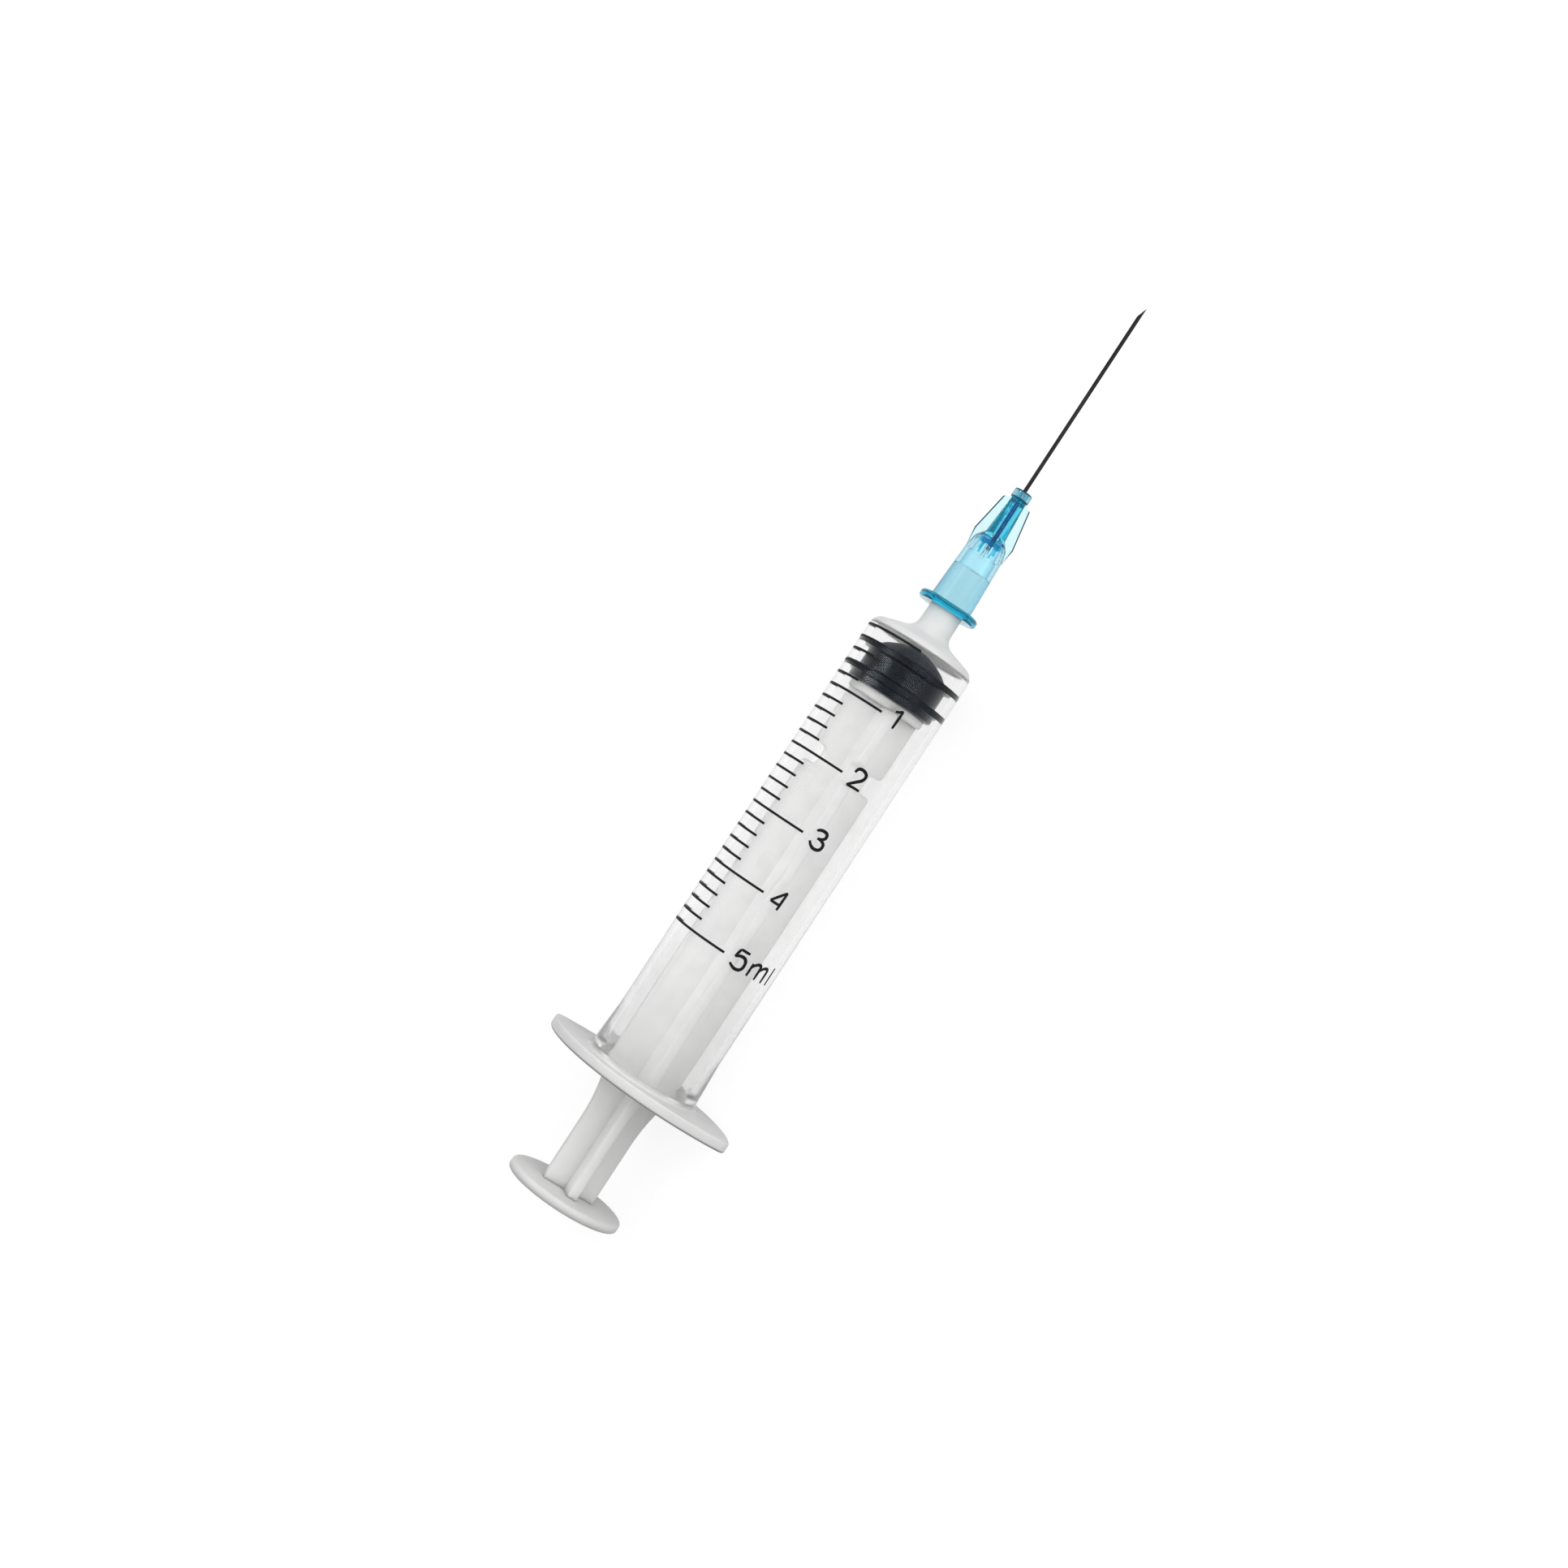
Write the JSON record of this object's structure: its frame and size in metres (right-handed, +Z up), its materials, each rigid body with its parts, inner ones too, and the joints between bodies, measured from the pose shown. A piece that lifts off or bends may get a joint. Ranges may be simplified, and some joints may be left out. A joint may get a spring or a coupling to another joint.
{
  "type": "luer slip syringe",
  "caption": "Clear tube with finger flange and printed volume scale, rubber stopper on a finned plunger rod, and a blue-hubbed needle pushed onto its tapered tip.",
  "frame": {"origin": "on the syringe's axis, at the front face of the finger flange, which the fingers pull on", "axes": "+X along the syringe's axis towards the needle's point, +Y along the flange's wings, +Z up as the syringe lies on a table"},
  "size_m": [0.128, 0.029, 0.018],
  "materials": {
    "clear_polypropylene": "clear, smooth, slightly milky moulding",
    "black_ink": "thin printed ink",
    "black_rubber": "smooth moulded rubber with a faint sheen",
    "frosted_polypropylene": "frosted translucent moulding",
    "blue_polypropylene": "clear blue moulding",
    "stainless_steel": "drawn and polished tube",
    "epoxy": "cured clear adhesive"
  },
  "bodies": {
    "barrel_body": {"barrel": "clear_polypropylene", "graduation_marks": "black_ink"},
    "stopper_body": {"stopper": "black_rubber"},
    "rod_body": {"plunger_rod": "frosted_polypropylene"},
    "needle_body": {"needle_hub": "blue_polypropylene", "cannula": "stainless_steel", "adhesive_bead": "epoxy"}
  },
  "joints": [
    {"name": "plunger_slide", "type": "slide", "parent": "barrel_body", "child": "stopper_body", "axis": [-1, 0, 0], "range_m": [-0.0013, 0.0525]},
    {"name": "rod_twist", "type": "hinge", "parent": "stopper_body", "child": "rod_body", "pos_m": [0.054, 0, 0], "axis": [1, 0, 0], "continuous": true},
    {"name": "needle_pull_off", "type": "slide", "parent": "barrel_body", "child": "needle_body", "axis": [1, 0, 0], "range_m": [0, 0.012]}
  ]
}
